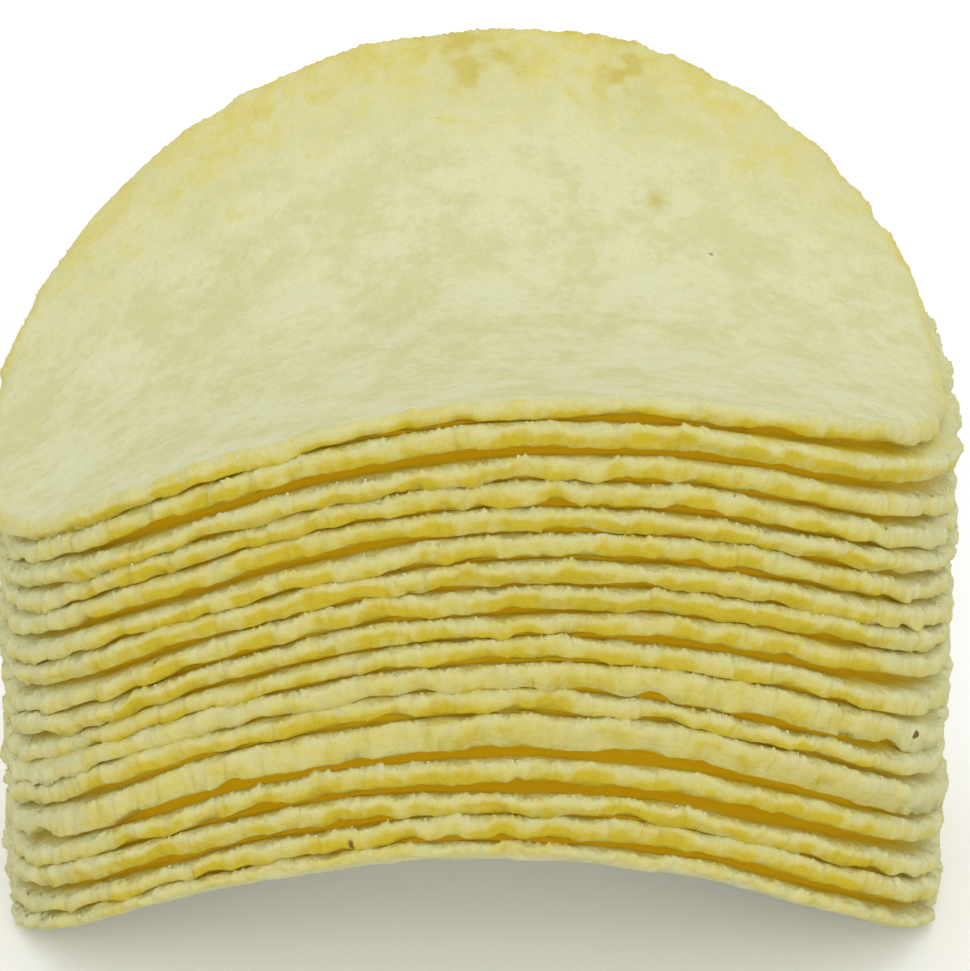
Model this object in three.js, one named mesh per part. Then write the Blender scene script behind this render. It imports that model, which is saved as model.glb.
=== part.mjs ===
// A free-standing stack of seventeen potato crisps. Each one is a thin saddle, arched from tip to
// tip and dipped from front to back, and it lies nested on the crisp below it.
import * as THREE from "three";
import { mergeVertices } from "three/addons/utils/BufferGeometryUtils.js";

// Driving dimensions, in millimetres and degrees. X runs along a crisp from tip to tip, Y across
// it from the front edge to the back edge, and Z up.
const CRISP_LENGTH = 65;
const CRISP_WIDTH = 50;
const THICKNESS = 1;
const EDGE_ROUNDING = 0.9; // how far in from the rim the faces start to turn over its edge
const OUTLINE_SQUARENESS = 2.7; // 2 is an ellipse, and a larger number a fuller oval
const ARCH = 8; // how far the two tips hang below the middle
const DIP = 7.2; // how far the front and back edges rise above the middle
const SEAT_GAP = 0.3; // least clearance of two smooth crisps; flat facets come up to 0.2 closer
const TIP_LEVELLING = 1.4; // how far the tips of the lowest crisp are bent up, so that it stands
const LAND_LENGTH = 2; // how far the level spot at such a tip reaches in from the rim

// How much more each crisp leans than the one below it, which fans the stack open.
const FAN_RIGHT = 0.22; // rise of the right tip
const FAN_BACK = 0.2; // rise of the back edge

// The mesh: equal steps round the rim, and rings that divide each face from the middle outwards.
const STEPS_ROUND = 40;
const FACE_RINGS = [0.35, 0.7];
const SEAT_SAMPLES = 40; // points along the length where the room to the crisp below is taken

// The crisps from the bottom up. No two fry alike: each has its own slide to the right and to the
// back, its turn in degrees, the extra rise of its right tip and of its back edge, the extra depth
// of its arch and of its dip, and a three-lobed ripple of the rim, with its height and the
// direction of one lobe in degrees.
const CRISPS = [
  { right: 0.0, back: 0.0, turn: 0, tip: 0.0, edge: 0.0, arch: 0.0, dip: 0.0, ripple: 0.0, lobe: 0 },
  { right: 0.2, back: 0.1, turn: 1, tip: -0.1, edge: 0.0, arch: -0.2, dip: 0.1, ripple: 0.1, lobe: 40 },
  { right: -0.1, back: -0.1, turn: 0, tip: -0.1, edge: 0.1, arch: -0.2, dip: 0.0, ripple: 0.1, lobe: 95 },
  { right: 0.1, back: 0.1, turn: 1, tip: -0.1, edge: 0.1, arch: 0.0, dip: 0.1, ripple: 0.1, lobe: 10 },
  { right: 0.3, back: -0.1, turn: 0, tip: 0.0, edge: -0.6, arch: 0.4, dip: 0.1, ripple: 0.1, lobe: 60 },
  { right: -0.1, back: 0.1, turn: -1, tip: 0.2, edge: 0.0, arch: 0.3, dip: 0.0, ripple: 0.1, lobe: 20 },
  { right: 0.1, back: -0.1, turn: 0, tip: 0.2, edge: -0.5, arch: 0.3, dip: 0.1, ripple: 0.1, lobe: 80 },
  { right: 0.2, back: 0.1, turn: -1, tip: 0.6, edge: 0.1, arch: 0.1, dip: 0.0, ripple: 0.1, lobe: 35 },
  { right: 0.0, back: 0.2, turn: 1, tip: 0.4, edge: 0.2, arch: 0.0, dip: 0.0, ripple: 0.1, lobe: 100 },
  { right: 0.2, back: 0.1, turn: 0, tip: 0.5, edge: 0.1, arch: -0.1, dip: 0.1, ripple: 0.1, lobe: 15 },
  { right: 0.0, back: -0.1, turn: -1, tip: 0.4, edge: 0.0, arch: 0.0, dip: 0.0, ripple: 0.1, lobe: 70 },
  { right: -0.2, back: 0.1, turn: 0, tip: 0.2, edge: 0.0, arch: 0.1, dip: -0.1, ripple: 0.1, lobe: 50 },
  { right: 0.2, back: 0.0, turn: -1, tip: 0.0, edge: 0.1, arch: 0.2, dip: 0.0, ripple: 0.1, lobe: 110 },
  { right: 0.1, back: 0.1, turn: 0, tip: -0.3, edge: 0.1, arch: 0.0, dip: 0.0, ripple: 0.1, lobe: 25 },
  { right: -0.1, back: 0.0, turn: 1, tip: -0.5, edge: 0.1, arch: -0.1, dip: 0.1, ripple: 0.1, lobe: 65 },
  { right: 0.2, back: 0.0, turn: 0, tip: -0.2, edge: 0.0, arch: 0.0, dip: 0.0, ripple: 0.1, lobe: 5 },
  { right: -1.0, back: 0.6, turn: 1, tip: 0.0, edge: 0.5, arch: 0.2, dip: -0.2, ripple: 0.1, lobe: 90 },
];

// Fried potato, pale yellow at the top of the stack and more golden towards its foot.
const TOP_COLOUR = new THREE.Color(0xdad9a6);
const FOOT_COLOUR = new THREE.Color(0xcfc782);
const ROUGHNESS = 0.75;

const halfLength = CRISP_LENGTH / 2;
const halfWidth = CRISP_WIDTH / 2;

// Distance from a crisp's centre to its rim in the direction of an angle.
function rimRadius(angle) {
  const along = Math.abs(Math.cos(angle)) / halfLength;
  const across = Math.abs(Math.sin(angle)) / halfWidth;
  return (along ** OUTLINE_SQUARENESS + across ** OUTLINE_SQUARENESS) ** (-1 / OUTLINE_SQUARENESS);
}

// How far out a point of a crisp's plan lies, from 0 in the middle to 1 on the rim.
function reach(x, y) {
  return Math.hypot(x, y) / rimRadius(Math.atan2(y, x));
}

// Height of a crisp's middle surface over the point (x, y) of its own plan.
function saddleHeight(crisp, x, y) {
  const along = x / halfLength;
  const across = y / halfWidth;
  const bend = (DIP + crisp.dip) * across ** 2 - (ARCH + crisp.arch) * along ** 2;
  const lean = crisp.rightRise * along + crisp.backRise * across;
  const fromLobe = Math.atan2(y, x) - THREE.MathUtils.degToRad(crisp.lobe);
  const lobes = crisp.ripple * reach(x, y) ** 3 * Math.cos(3 * fromLobe);
  return crisp.stands ? Math.max(bend, TIP_LEVELLING - ARCH) : bend + lean + lobes;
}

// Unit normal of the middle surface, from the slopes over a short span.
function saddleNormal(crisp, x, y) {
  const span = 0.01;
  const riseX = saddleHeight(crisp, x + span, y) - saddleHeight(crisp, x - span, y);
  const riseY = saddleHeight(crisp, x, y + span) - saddleHeight(crisp, x, y - span);
  return new THREE.Vector3(-riseX, -riseY, 2 * span).normalize();
}

// A round blank of unit radius and the crisp's thickness, with its faces turned over at the rim.
function doughBlank(faceRings) {
  const half = THICKNESS / 2;
  const rings = [...faceRings, 1 - EDGE_ROUNDING / halfWidth];
  const profile = [
    new THREE.Vector2(0, -half),
    ...rings.map((ring) => new THREE.Vector2(ring, -half)),
    new THREE.Vector2(1, -half / 2),
    new THREE.Vector2(1, half / 2),
    ...rings.toReversed().map((ring) => new THREE.Vector2(ring, half)),
    new THREE.Vector2(0, half),
  ];
  return new THREE.LatheGeometry(profile, STEPS_ROUND).rotateX(Math.PI / 2);
}

// The fried crisp: the blank drawn out to its oval outline and bent over the saddle.
function crispGeometry(crisp) {
  const landRing = 1 - LAND_LENGTH / halfLength;
  const blank = doughBlank(crisp.stands ? [...FACE_RINGS, landRing] : FACE_RINGS);
  const points = blank.attributes.position;
  for (let i = 0; i < points.count; i++) {
    const angle = Math.atan2(points.getY(i), points.getX(i));
    const distance = Math.hypot(points.getX(i), points.getY(i)) * rimRadius(angle);
    const x = distance * Math.cos(angle);
    const y = distance * Math.sin(angle);
    const offset = saddleNormal(crisp, x, y).multiplyScalar(points.getZ(i));
    points.setXYZ(i, x + offset.x, y + offset.y, saddleHeight(crisp, x, y) + offset.z);
  }
  blank.deleteAttribute("normal");
  blank.deleteAttribute("uv");
  const crispSolid = mergeVertices(blank);
  crispSolid.computeVertexNormals();
  return crispSolid;
}

// Height at which a smooth crisp would lie SEAT_GAP clear of the smooth crisp below it.
function seatHeight(crisp, mesh, below, meshBelow) {
  let height = -Infinity;
  const step = CRISP_LENGTH / SEAT_SAMPLES;
  for (let x = -halfLength; x <= halfLength; x += step) {
    for (let y = -halfWidth; y <= halfWidth; y += step) {
      const under = meshBelow.worldToLocal(mesh.localToWorld(new THREE.Vector3(x, y, 0)));
      if (reach(x, y) > 1 || reach(under.x, under.y) > 1) continue;
      const upright = Math.min(
        saddleNormal(crisp, x, y).z,
        saddleNormal(below, under.x, under.y).z,
      );
      const middles = saddleHeight(below, under.x, under.y) - saddleHeight(crisp, x, y);
      height = Math.max(height, middles + (THICKNESS + SEAT_GAP) / upright);
    }
  }
  return meshBelow.position.z + height;
}

const stack = new THREE.Group();
CRISPS.forEach((own, place) => {
  const crisp = {
    ...own,
    stands: place === 0,
    rightRise: FAN_RIGHT * place + own.tip,
    backRise: FAN_BACK * place + own.edge,
  };
  const colour = FOOT_COLOUR.clone().lerp(TOP_COLOUR, place / (CRISPS.length - 1));
  const mesh = new THREE.Mesh(
    crispGeometry(crisp),
    new THREE.MeshStandardMaterial({ color: colour, roughness: ROUGHNESS, metalness: 0 }),
  );
  mesh.name = `crisp_${String(place + 1).padStart(2, "0")}`;
  mesh.position.set(own.right, own.back, 0);
  mesh.rotation.z = THREE.MathUtils.degToRad(own.turn);
  mesh.userData.crisp = crisp;
  mesh.updateMatrixWorld();
  const meshBelow = stack.children.at(-1);
  if (meshBelow) mesh.position.z = seatHeight(crisp, mesh, meshBelow.userData.crisp, meshBelow);
  stack.add(mesh);
});

// The origin is on the surface that the stack stands on, below the middle of the whole stack.
const extent = new THREE.Box3().setFromObject(stack, true);
const middle = extent.getCenter(new THREE.Vector3());
for (const mesh of stack.children) {
  mesh.position.sub(new THREE.Vector3(middle.x, middle.y, extent.min.z));
}

export default stack;
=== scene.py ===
import math
import random

import bmesh
import bpy
from mathutils import Matrix, Vector, noise
from mathutils.bvhtree import BVHTree


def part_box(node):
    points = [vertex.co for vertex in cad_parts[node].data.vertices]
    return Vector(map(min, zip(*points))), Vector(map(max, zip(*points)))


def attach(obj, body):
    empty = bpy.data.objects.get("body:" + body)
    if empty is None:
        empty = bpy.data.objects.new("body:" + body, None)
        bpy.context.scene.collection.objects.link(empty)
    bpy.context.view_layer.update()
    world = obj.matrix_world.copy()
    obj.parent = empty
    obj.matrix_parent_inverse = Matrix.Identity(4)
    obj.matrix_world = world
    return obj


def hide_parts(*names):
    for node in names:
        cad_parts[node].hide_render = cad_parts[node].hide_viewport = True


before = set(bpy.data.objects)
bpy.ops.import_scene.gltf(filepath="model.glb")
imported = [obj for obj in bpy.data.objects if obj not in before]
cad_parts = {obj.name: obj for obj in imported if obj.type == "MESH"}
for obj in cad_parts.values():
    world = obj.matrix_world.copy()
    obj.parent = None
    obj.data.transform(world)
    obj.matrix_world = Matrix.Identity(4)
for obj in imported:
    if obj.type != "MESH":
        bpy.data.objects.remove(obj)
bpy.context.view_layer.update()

MM = 0.001


# The look of fried potato. A crisp is pressed from one thin sheet of potato dough, so its faces are
# pale and finely grained, its rim is more golden, and a few spots are toasted. The gold on the
# undersides and on the faces between the crisps is painted shade. Those faces also glow with a painted
# golden light, in place of the light that seeps through the translucent sheet and keeps the gaps golden.
class Socket:
    """A shader value that adds its own Math nodes when it is used in an expression."""

    def __init__(self, recipe, link):
        self.recipe = recipe
        self.link = link

    def maths(self, operation, *values):
        inputs = {place: value for place, value in enumerate(values)}
        return self.recipe.node("ShaderNodeMath", inputs, operation=operation)

    def __add__(self, other):
        return self.maths("ADD", self, other)

    def __radd__(self, other):
        return self.maths("ADD", other, self)

    def __sub__(self, other):
        return self.maths("SUBTRACT", self, other)

    def __rsub__(self, other):
        return self.maths("SUBTRACT", other, self)

    def __mul__(self, other):
        return self.maths("MULTIPLY", self, other)

    def __rmul__(self, other):
        return self.maths("MULTIPLY", other, self)

    def __truediv__(self, other):
        return self.maths("DIVIDE", self, other)

    def __pow__(self, other):
        return self.maths("POWER", self, other)


class Recipe:
    """A material and the nodes that it is made of."""

    def __init__(self, name):
        self.material = bpy.data.materials.new(name)
        self.material.use_nodes = True
        self.tree = self.material.node_tree
        self.shader = self.tree.nodes["Principled BSDF"]

    def node(self, kind, inputs, output=0, stops=None, **settings):
        made = self.tree.nodes.new(kind)
        for key, value in settings.items():
            setattr(made, key, value)
        if stops:
            ramp = made.color_ramp
            while len(ramp.elements) < len(stops):
                ramp.elements.new(1.0)
            for element, (position, colour) in zip(ramp.elements, stops):
                element.position = position
                element.color = colour
        for socket, value in inputs.items():
            self.feed(made.inputs[socket], value)
        return Socket(self, made.outputs[output])

    def feed(self, socket, value):
        if isinstance(value, Socket):
            self.tree.links.new(value.link, socket)
        else:
            socket.default_value = value

    def noise(self, place, size, detail=3.0, roughness=0.55):
        scale = 1 / size
        inputs = {"Vector": place, "Scale": scale, "Detail": detail, "Roughness": roughness}
        return self.node("ShaderNodeTexNoise", inputs)

    def between(self, value, low, high):
        inputs = {"Value": value, "From Min": low, "From Max": high}
        return self.node("ShaderNodeMapRange", inputs, interpolation_type="SMOOTHSTEP")

    def blend(self, share, first, second):
        factor, colour_a, colour_b, colour_result = 0, 6, 7, 2
        inputs = {factor: share, colour_a: first, colour_b: second}
        return self.node("ShaderNodeMix", inputs, output=colour_result, data_type="RGBA")


PALE = (0.715, 0.700, 0.345, 1)
CREAM = (0.800, 0.798, 0.495, 1)
STRAW = (0.745, 0.670, 0.210, 1)
GOLD = (0.680, 0.530, 0.030, 1)
TOAST = (0.610, 0.510, 0.090, 1)
SPECK = (0.200, 0.110, 0.030, 1)
UNLIT = (0, 0, 0, 1)
# Painted light: faces deep in the gaps glow with this golden colour, in place of the light that seeps
# through the sheet.
PAINTED_GAP_GLOW = (1.0, 0.74, 0.02, 1)
PAINTED_GAP_GLOW_STRENGTH = 0.22

fried = Recipe("fried_potato")
place = fried.node("ShaderNodeTexCoord", {}, output="Object")
gold = fried.node("ShaderNodeAttribute", {}, output="Fac", attribute_name="gold")
toast = fried.node("ShaderNodeAttribute", {}, output="Fac", attribute_name="toast")
depth = fried.node("ShaderNodeAttribute", {}, output="Fac", attribute_name="depth")
clouds = fried.noise(place, 5.0 * MM, detail=6.0, roughness=0.65)
mottle = fried.noise(place, 1.1 * MM, detail=5.0, roughness=0.65)
grain = fried.noise(place, 0.35 * MM, detail=3.0, roughness=0.7)

face_colour = fried.blend(fried.between(0.6 * clouds + 0.4 * mottle, 0.40, 0.60), PALE, CREAM)
dabs = fried.between(fried.noise(place, 2.6 * MM, detail=2.0), 0.38, 0.70)
# The gold that the crisps carry is partly their own browning and partly painted shade in the gaps.
browning_and_painted_shade = gold + 0.8 * (mottle - 0.5) + 0.6 * (clouds - 0.5) + 0.8 * dabs * gold
straw_coloured = fried.blend(fried.between(browning_and_painted_shade, 0.05, 0.55), face_colour, STRAW)
golden = fried.blend(fried.between(browning_and_painted_shade, 0.45, 1.0), straw_coloured, GOLD)
toasted = fried.blend(0.80 * fried.between(toast * (0.25 + dabs), 0.05, 0.95), golden, TOAST)
rare = fried.between(fried.noise(place, 2.2 * MM, detail=1.0), 0.80, 0.84)
fried.feed(fried.shader.inputs["Base Color"], fried.blend(rare, toasted, SPECK))
fried.feed(fried.shader.inputs["Roughness"], 0.58 + 0.25 * grain)
relief = 0.4 * grain + 1.1 * mottle
bump_inputs = {"Height": relief, "Strength": 0.7, "Distance": 0.35 * MM}
bump = fried.node("ShaderNodeBump", bump_inputs)
fried.feed(fried.shader.inputs["Normal"], bump)
# Painted light: faces in the gaps glow golden, the deeper in a gap the more.
fried.feed(fried.shader.inputs["Emission Color"], fried.blend(depth, UNLIT, PAINTED_GAP_GLOW))
fried.shader.inputs["Emission Strength"].default_value = PAINTED_GAP_GLOW_STRENGTH
fried.shader.inputs["Specular IOR Level"].default_value = 0.25


# The seventeen crisps. Each is pressed to a thin oval saddle and fried in a mould, so that it bends
# alike but never quite the same, blisters a little and keeps a ragged, crumbly rim. They lie loose,
# each in the one below.
OUTLINE_SQUARENESS = 2.7
WELD = 0.005 * MM
ROUND_EDGE = 1.0 * MM
SWELL = 0.10 * MM

# Each kind of unevenness has its size across and its height or depth.
WAVE_SIZE, WAVE_LIFT = 6.0 * MM, 0.30 * MM
BLISTER_SIZE, BLISTER_LIFT = 2.2 * MM, 0.16 * MM
PIMPLE_SIZE, PIMPLE_LIFT = 0.75 * MM, 0.06 * MM
RIPPLE_SIZE, RIPPLE_LIFT = 1.7 * MM, 0.38 * MM
TOOTH_SIZE, TOOTH_LIFT = 0.30 * MM, 0.48 * MM
NOTCH_SIZE, NOTCH_DEPTH = 1.8 * MM, 0.75 * MM
NICK_SIZE, NICK_DEPTH = 0.50 * MM, 0.22 * MM

# The rim bulges below into part of the room that the next crisp down leaves it.
LUMP_SIZE, LUMP_SHARE, LUMP_MOST = 2.6 * MM, 0.50, 0.65 * MM
WIDE_LUMP_SHARE, WIDE_LUMP_MOST = 0.62, 1.3 * MM

# Shares of the way from a crisp's middle to its rim.
RIM_BAND, RIM_START, RIM_FULL = 0.93, 0.955, 0.995
LUMP_START, LUMP_FULL = 0.80, 0.95
RIM_STEP = 0.1 * MM

# How golden the parts are, from 0 for pale to 1 for gold. The gold on the undersides and on the faces
# between the crisps is painted shade, and the paler tips are painted light.
BARE_GOLD = 0.26
COVERED_PAINTED_SHADE, WIDE_BAND_COVERED_PAINTED_SHADE = 0.60, 0.25
UNDERSIDE_PAINTED_SHADE, WIDE_BAND_UNDERSIDE_PAINTED_SHADE = 0.47, 0.20
TIP_PAINTED_LIGHT = 0.55
FRONT_EDGE_GOLD, BACK_EDGE_GOLD, BACK_GOLD = 0.30, 0.08, 0.30

CRUMBS, CRUMB_RADIUS = 90, 0.09 * MM
WHISKERS, WHISKER_LENGTH = 3, 0.75 * MM
CRUMB_GOLD = 0.0
TOASTED_SPOTS = (
    (Vector((0.5, 23.0)) * MM, 5.0 * MM),
    (Vector((11.5, 22.0)) * MM, 4.5 * MM),
    (Vector((13.0, 11.0)) * MM, 1.6 * MM),
)
TOP_CALM = 0.55
# These two crisps show wider pale bands: their rims bulge further below, and they get less painted
# shade.
WIDE_PALE_BANDS = ("crisp_05", "crisp_07")


def smooth_step(value, low, high):
    share = min(max((value - low) / (high - low), 0.0), 1.0)
    return share * share * (3 - 2 * share)


def reach_of(point, centre, half):
    """How far out a point lies on its crisp, from 0 in the middle to 1 on the rim."""
    along, across = abs(point.x - centre.x) / half.x, abs(point.y - centre.y) / half.y
    return (along ** OUTLINE_SQUARENESS + across ** OUTLINE_SQUARENESS) ** (1 / OUTLINE_SQUARENESS)


def edges_round(form, centre, least):
    """The edges of a crisp that run round its middle and are longer than a least length."""
    found = []
    for edge in form.edges:
        start, end = (vertex.co for vertex in edge.verts)
        run, out = (end - start).xy, ((start + end) / 2 - centre).xy
        if run.length > least and abs(run.normalized().dot(out.normalized())) < 0.5:
            found.append(edge)
    return found


def smooth_blank(node, centre, half, levels):
    """The crisp's own solid with its flat facets drawn out to one rounded surface, finest at the rim."""
    blank = bmesh.new()
    blank.from_mesh(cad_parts[node].data)
    bmesh.ops.remove_doubles(blank, verts=blank.verts, dist=WELD)
    bmesh.ops.join_triangles(blank, faces=blank.faces, angle_face_threshold=math.radians(40),
                             angle_shape_threshold=math.radians(80))
    bmesh.ops.subdivide_edges(blank, edges=edges_round(blank, centre, ROUND_EDGE), cuts=1,
                              use_grid_fill=True)
    mesh = bpy.data.meshes.new(node + "_blank")
    blank.to_mesh(mesh)
    blank.free()
    coarse = bpy.data.objects.new(node + "_blank", mesh)
    bpy.context.scene.collection.objects.link(coarse)
    rounding = coarse.modifiers.new("rounding", "SUBSURF")
    rounding.levels = rounding.render_levels = levels
    ready = coarse.evaluated_get(bpy.context.evaluated_depsgraph_get())
    smooth_mesh = bpy.data.meshes.new_from_object(ready)
    bpy.data.objects.remove(coarse)
    form = bmesh.new()
    form.from_mesh(smooth_mesh)
    rim_edges = [edge for edge in edges_round(form, centre, RIM_STEP)
                 if all(reach_of(vertex.co, centre, half) > RIM_BAND for vertex in edge.verts)]
    bmesh.ops.subdivide_edges(form, edges=rim_edges, cuts=1 if (levels == 3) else 3,
                              use_grid_fill=True)
    form.normal_update()
    return form


def fry(form, order, centre, half, below, is_top, has_wide_pale_band):
    """Waves and blisters the sheet, breaks its rim, and notes where it is golden or toasted, where
    painted shade and painted light fall, and how much it glows with painted light.
    """
    own_place = Vector((order * 3.7, order * 1.3, order * 5.1))
    gold, toast, depth = (form.verts.layers.float.new(name) for name in ("gold", "toast", "depth"))
    moved = []
    for vertex in form.verts:
        point, normal = vertex.co, vertex.normal
        in_plan = Vector((point.x, point.y, 0))
        reach = reach_of(point, centre, half)
        rim = smooth_step(reach, RIM_START, RIM_FULL) * (TOP_CALM if is_top else 1.0)
        underneath = smooth_step(-normal.z, -0.2, 0.5)
        if is_top:
            open_face = 1 - underneath
        else:
            open_face = 0.0 if below else underneath
        wave = noise.noise(in_plan / WAVE_SIZE + own_place)
        ripple = noise.noise(in_plan / RIPPLE_SIZE + own_place)
        tooth = noise.noise(point / TOOTH_SIZE + own_place)
        blister = noise.noise(point / BLISTER_SIZE + own_place * 2)
        pimple = noise.noise(point / PIMPLE_SIZE + own_place)
        lump = noise.noise(in_plan / LUMP_SIZE - own_place)
        notch = noise.noise(in_plan / NOTCH_SIZE - own_place)
        nick = noise.noise(point / NICK_SIZE - own_place)
        lift = WAVE_LIFT * wave * smooth_step(reach, 0.3, 1.0) + rim * RIPPLE_LIFT * ripple
        lift += TOOTH_LIFT * max(tooth, 0.0) * rim * smooth_step(normal.z, 0.0, 0.6)
        hang = 0.0
        if below and normal.z < 0 and reach > LUMP_START:
            room = below.ray_cast(point, Vector((0, 0, -1)))[3]
            share = WIDE_LUMP_SHARE if has_wide_pale_band else LUMP_SHARE
            limit = WIDE_LUMP_MOST if has_wide_pale_band else LUMP_MOST
            most = min(share * (1 + lump) * (room - SWELL), limit) if room else 0.3 * limit
            hang = max(most, 0.0) * smooth_step(-normal.z, 0.0, 0.6)
            hang *= smooth_step(reach, LUMP_START, LUMP_FULL)
        swell = SWELL + BLISTER_LIFT * max(blister, 0.0) + PIMPLE_LIFT * pimple
        broken = rim * (NOTCH_DEPTH * max(notch, -0.2) + NICK_DEPTH * nick)
        outwards = (in_plan - Vector((centre.x, centre.y, 0))).normalized()
        grown = point + Vector((0, 0, lift - hang)) + normal * swell - outwards * broken
        grown.z = max(grown.z, 0.0)
        moved.append(grown)
        inner = 1 - smooth_step(reach, 0.92, 0.99)
        # Painted shade: undersides and the faces between the crisps are painted more golden; the two
        # crisps with wide pale bands get less.
        underside_painted_shade = (WIDE_BAND_UNDERSIDE_PAINTED_SHADE if has_wide_pale_band else UNDERSIDE_PAINTED_SHADE) * underneath
        covered_painted_shade = (WIDE_BAND_COVERED_PAINTED_SHADE if has_wide_pale_band else COVERED_PAINTED_SHADE) * inner
        # Painted light: the tips of the crisps are painted paler, with less gold, as if more brightly
        # lit.
        at_tip = smooth_step(abs(point.x - centre.x) / half.x, 0.72, 0.95)
        gold_with_painted_light_and_shade = (BARE_GOLD + max(underside_painted_shade, covered_painted_shade)) * (1 - TIP_PAINTED_LIGHT * at_tip)
        at_back = smooth_step(point.y, 0.0, half.y)
        edge_gold = FRONT_EDGE_GOLD + at_back * (BACK_EDGE_GOLD - FRONT_EDGE_GOLD)
        open_gold = edge_gold * smooth_step(reach, RIM_START, RIM_FULL)
        open_gold += BACK_GOLD * at_back * smooth_step(reach, 0.30, 1.0)
        vertex[gold] = gold_with_painted_light_and_shade + open_face * (open_gold - gold_with_painted_light_and_shade)
        # Painted light: the share of golden glow for faces in the gaps, more for those that face down.
        in_gap = (1 - open_face) * (1 - smooth_step(reach, 0.87, 0.99))
        vertex[depth] = in_gap * (0.45 + 0.55 * underneath)
        spots = max(1 - (point.xy - spot).length / size for spot, size in TOASTED_SPOTS)
        vertex[toast] = max(spots, 0.0) * open_face
    for vertex, grown in zip(form.verts, moved):
        vertex.co = grown


def crumble(form, order, centre, half):
    """Crumbs and short whiskers of broken dough that cling to the upper edge of the rim."""
    draw = random.Random(order)
    edge_points = [vertex.co.copy() for vertex in form.verts
                   if vertex.normal.z > 0.2 and reach_of(vertex.co, centre, half) > 0.985]
    whole = len(form.verts)
    whisker_stretch = WHISKER_LENGTH / CRUMB_RADIUS / 2
    bits = [(1.0, CRUMB_RADIUS)] * CRUMBS + [(whisker_stretch, CRUMB_RADIUS * 0.7)] * WHISKERS
    for stretch, radius in bits:
        size = radius * draw.uniform(0.6, 1.3)
        spot = draw.choice(edge_points)
        lie = Matrix.Translation(spot) @ Matrix.Rotation(draw.uniform(-0.7, 0.7), 4, "Y")
        shape = Matrix.Diagonal((size * draw.uniform(0.8, 1.5), size, size * stretch, 1))
        bmesh.ops.create_icosphere(form, subdivisions=1, radius=1, matrix=lie @ shape)
    form.verts.ensure_lookup_table()
    gold = form.verts.layers.float["gold"]
    for vertex in form.verts[whole:]:
        vertex[gold] = CRUMB_GOLD


crisp_nodes = sorted(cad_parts)
below = None
for order, node in enumerate(crisp_nodes):
    low, high = (Vector(corner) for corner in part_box(node))
    centre, half = (low + high) / 2, (high - low) / 2
    is_top = node == crisp_nodes[-1]
    crisp_form = smooth_blank(node, centre, half, levels=3 if is_top else 2)
    own_surface = BVHTree.FromBMesh(crisp_form)
    fry(crisp_form, order, centre, half, below, is_top, has_wide_pale_band=node in WIDE_PALE_BANDS)
    below = own_surface
    crisp_form.normal_update()
    crumble(crisp_form, order, centre, half)
    fried_mesh = bpy.data.meshes.new("fried_" + node)
    crisp_form.to_mesh(fried_mesh)
    crisp_form.free()
    fried_mesh.shade_smooth()
    fried_mesh.materials.append(fried.material)
    crisp = bpy.data.objects.new("fried_" + node, fried_mesh)
    bpy.context.scene.collection.objects.link(crisp)
    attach(crisp, "root")
    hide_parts(node)


# The floor: a wide pale sheet that the stack stands on. It shows white, and keeps the soft shadow.
FLOOR_SIZE = 6.0
floor_paint = Recipe("floor_white")
seen = [floor_paint.node("ShaderNodeLightPath", {}, output=f"Is {kind} Ray")
        for kind in ("Camera", "Glossy", "Transmission")]
any_seen = seen[0] + seen[1] + seen[2]
sheet_colour = floor_paint.blend(any_seen, (0.80, 0.80, 0.80, 1), (1.0, 1.0, 1.0, 1))
sheet_glow = floor_paint.blend(any_seen, (0, 0, 0, 1), (0.13, 0.13, 0.13, 1))
floor_paint.feed(floor_paint.shader.inputs["Base Color"], sheet_colour)
floor_paint.feed(floor_paint.shader.inputs["Emission Color"], sheet_glow)
floor_paint.shader.inputs["Emission Strength"].default_value = 1.0
floor_paint.shader.inputs["Roughness"].default_value = 1.0
floor_paint.shader.inputs["Specular IOR Level"].default_value = 0.0
floor_form = bmesh.new()
bmesh.ops.create_grid(floor_form, x_segments=1, y_segments=1, size=FLOOR_SIZE / 2)
floor_mesh = bpy.data.meshes.new("floor")
floor_form.to_mesh(floor_mesh)
floor_form.free()
floor_mesh.materials.append(floor_paint.material)
floor = bpy.data.objects.new("floor", floor_mesh)
bpy.context.scene.collection.objects.link(floor)


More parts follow.
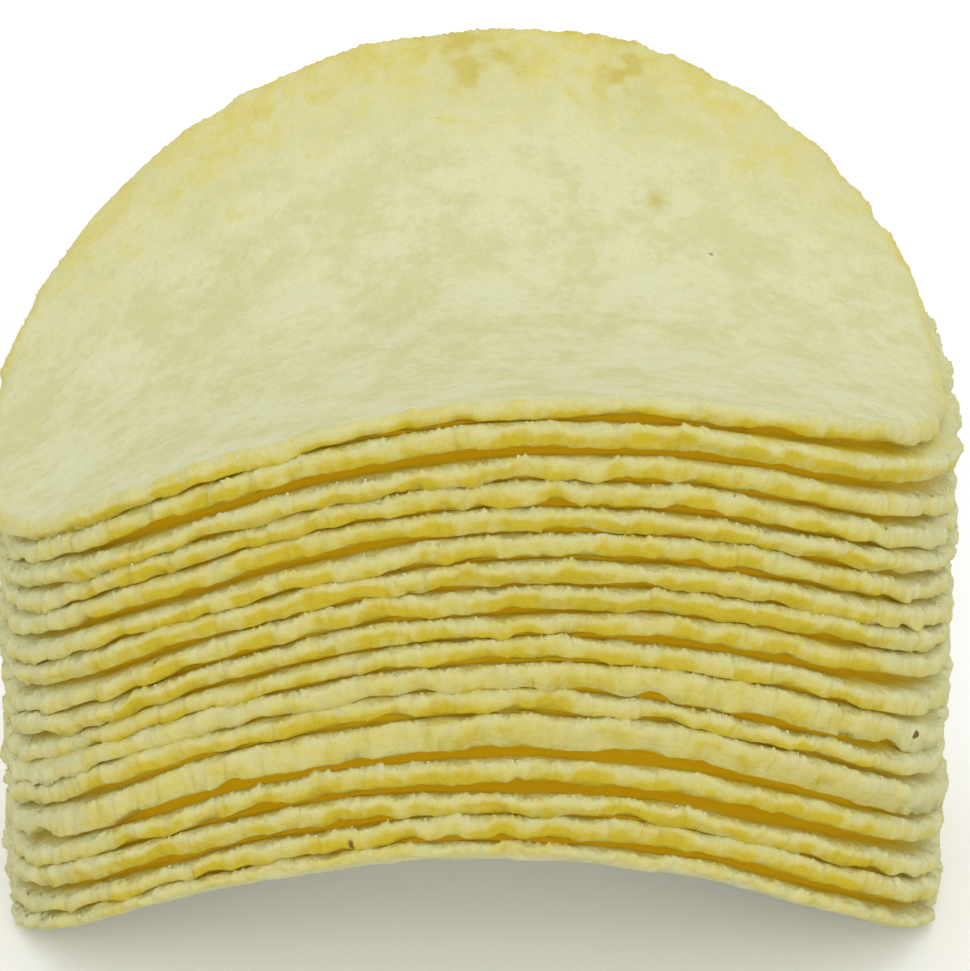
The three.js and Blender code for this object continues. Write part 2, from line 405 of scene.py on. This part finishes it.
# The light: a white surround, with one broad soft lamp at the front and a weaker one above the back.
SURROUND = 0.67
world = bpy.data.worlds.new("white_surround")
bpy.context.scene.world = world
world.use_nodes = True
sky = world.node_tree
surround = sky.nodes["Background"]
surround.inputs["Color"].default_value = (1, 1, 1, 1)
ray = sky.nodes.new("ShaderNodeLightPath")
shown = ray.outputs["Is Camera Ray"]
for kind in ("Is Glossy Ray", "Is Transmission Ray"):
    either = sky.nodes.new("ShaderNodeMath")
    either.operation = "MAXIMUM"
    sky.links.new(shown, either.inputs[0])
    sky.links.new(ray.outputs[kind], either.inputs[1])
    shown = either.outputs[0]
bright = sky.nodes.new("ShaderNodeMapRange")
bright.inputs["To Min"].default_value = SURROUND
bright.inputs["To Max"].default_value = 1.0
sky.links.new(shown, bright.inputs["Value"])
sky.links.new(bright.outputs["Result"], surround.inputs["Strength"])

LAMPS = (("front_lamp", 0.80, 22, 5, 50), ("top_lamp", 0.45, 75, 175, 60))
for name, strength, elevation, azimuth, softness in LAMPS:
    lamp = bpy.data.lights.new(name, "SUN")
    lamp.energy = strength
    lamp.angle = math.radians(softness)
    holder = bpy.data.objects.new(name, lamp)
    holder.rotation_euler = (math.radians(90 - elevation), 0, math.radians(azimuth))
    bpy.context.scene.collection.objects.link(holder)


# The camera looks down on the front of the stack from the photograph's angle, with a long lens.
CAMERA_DISTANCE = 400 * MM
CAMERA_ELEVATION = math.radians(23.9)
CAMERA_AZIMUTH = math.radians(1.6)
CAMERA_ROLL = math.radians(0.6)
CAMERA_AIM = Vector((1.0, 0.0, 29.1)) * MM
view = Vector((math.sin(CAMERA_AZIMUTH) * math.cos(CAMERA_ELEVATION),
               math.cos(CAMERA_AZIMUTH) * math.cos(CAMERA_ELEVATION),
               -math.sin(CAMERA_ELEVATION)))
right = Vector((math.cos(CAMERA_AZIMUTH), -math.sin(CAMERA_AZIMUTH), 0))
up = right.cross(view)
lens = bpy.data.cameras.new("camera")
lens.sensor_fit = "HORIZONTAL"
lens.sensor_width = 36
lens.lens = 216.8
lens.clip_start = 10 * MM
camera = bpy.data.objects.new("camera", lens)
turn = Matrix((right, up, -view)).transposed().to_4x4()
camera.matrix_world = (Matrix.Translation(CAMERA_AIM - view * CAMERA_DISTANCE) @ turn
                       @ Matrix.Rotation(CAMERA_ROLL, 4, "Z"))
bpy.context.scene.collection.objects.link(camera)
bpy.context.scene.camera = camera
bpy.context.scene.view_settings.view_transform = "Standard"
